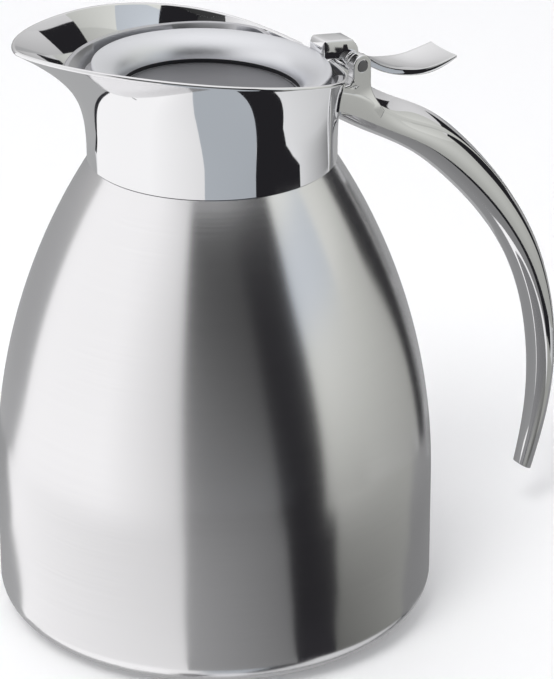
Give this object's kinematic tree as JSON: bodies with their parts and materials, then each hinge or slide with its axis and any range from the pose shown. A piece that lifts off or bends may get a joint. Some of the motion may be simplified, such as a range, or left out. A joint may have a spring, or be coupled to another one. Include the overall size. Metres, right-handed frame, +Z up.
{
  "type": "insulated jug",
  "caption": "Insulated steel jug with a spouted chrome collar, a cast hook handle and a hinged lid worked by a thumb lever.",
  "frame": {"origin": "centre of the round foot, in the plane the jug stands on", "axes": "+Z up along the jug's axis, +X towards the hinge and the handle, -X towards the spout, Y across"},
  "size_m": [0.1869, 0.13, 0.1856],
  "materials": {
    "satin_steel": "satin, brushed around the body",
    "inner_steel": "plain drawn sheet",
    "chrome": "mirror polished",
    "satin_chrome": "satin",
    "steel_hardware": "bright",
    "black_plastic": "moulded",
    "grey_foam": "foam",
    "silicone": "matt",
    "foil": "bright rolled",
    "resin": "cast"
  },
  "bodies": {
    "jug": {"outer_shell": "satin_steel", "inner_flask": "inner_steel", "heat_foil": "foil", "getter": "steel_hardware", "jacket_bottom": "inner_steel", "vacuum_seal": "resin", "base_cover": "satin_steel", "collar": "chrome", "neck_ring": "black_plastic", "neck_gasket": "silicone", "throat_ring": "satin_chrome", "handle": "chrome", "handle_screws": "steel_hardware", "hinge_pin": "steel_hardware", "hinge_washers": "silicone"},
    "lid": {"lid_lever": "chrome", "lid_cover": "chrome", "lid_plug": "black_plastic", "lid_gasket": "silicone", "lid_foam": "grey_foam", "lid_rivets": "steel_hardware"}
  },
  "joints": [
    {"name": "lid_hinge", "type": "hinge", "parent": "jug", "child": "lid", "pos_m": [0.0463, 0, 0.1635], "axis": [0, 1, 0], "range_deg": [0, 22]}
  ]
}
